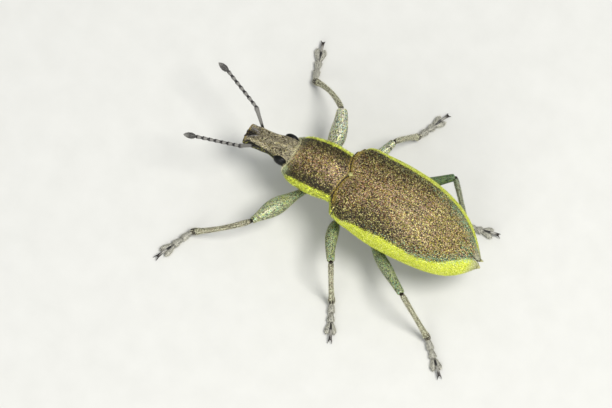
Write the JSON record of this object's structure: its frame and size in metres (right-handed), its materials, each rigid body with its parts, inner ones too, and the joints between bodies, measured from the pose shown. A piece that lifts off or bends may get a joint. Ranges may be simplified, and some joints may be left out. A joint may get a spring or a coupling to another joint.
{
  "type": "chlorophanus viridis weevil model",
  "caption": "Life-size standing weevil with a brown scaled back, yellow side bands, short snout, elbowed feelers and spread grey-green legs.",
  "frame": {"origin": "on the floor under the middle of the whole animal's bounding box", "axes": "head towards -Y, back towards +Z, the beetle's left side towards +X"},
  "size_m": [0.0126, 0.0144, 0.0039],
  "materials": {
    "wing_case": "matte brown cuticle under fine copper, gold and yellow-green scales, with a bright yellow band along the sides",
    "scutellum": "matte, pale yellow scales",
    "underside": "matte, pale yellow-green scales",
    "thigh": "satin grey-green scales with a faint metallic green sheen",
    "shin": "matte grey and pale yellow scales with fine hairs",
    "foot": "matte grey with dark joints and claws",
    "feeler": "matte dark grey-brown with fine pale hairs",
    "eye": "glossy black, finely faceted"
  },
  "bodies": {
    "root": {"abdomen": "underside", "club_left": "feeler", "club_right": "feeler", "coxa_front_left": "underside", "coxa_front_right": "underside", "coxa_hind_left": "underside", "coxa_hind_right": "underside", "coxa_mid_left": "underside", "coxa_mid_right": "underside", "elytron_left": "wing_case", "elytron_right": "wing_case", "eye_left": "eye", "eye_right": "eye", "femur_front_left": "thigh", "femur_front_right": "thigh", "femur_hind_left": "thigh", "femur_hind_right": "thigh", "femur_mid_left": "thigh", "femur_mid_right": "thigh", "funicle_left": "feeler", "funicle_right": "feeler", "head": "wing_case", "pronotum": "wing_case", "scape_left": "feeler", "scape_right": "feeler", "scutellum": "scutellum", "tarsus_front_left": "foot", "tarsus_front_right": "foot", "tarsus_hind_left": "foot", "tarsus_hind_right": "foot", "tarsus_mid_left": "foot", "tarsus_mid_right": "foot", "thorax": "underside", "tibia_front_left": "shin", "tibia_front_right": "shin", "tibia_hind_left": "shin", "tibia_hind_right": "shin", "tibia_mid_left": "shin", "tibia_mid_right": "shin"}
  },
  "joints": []
}
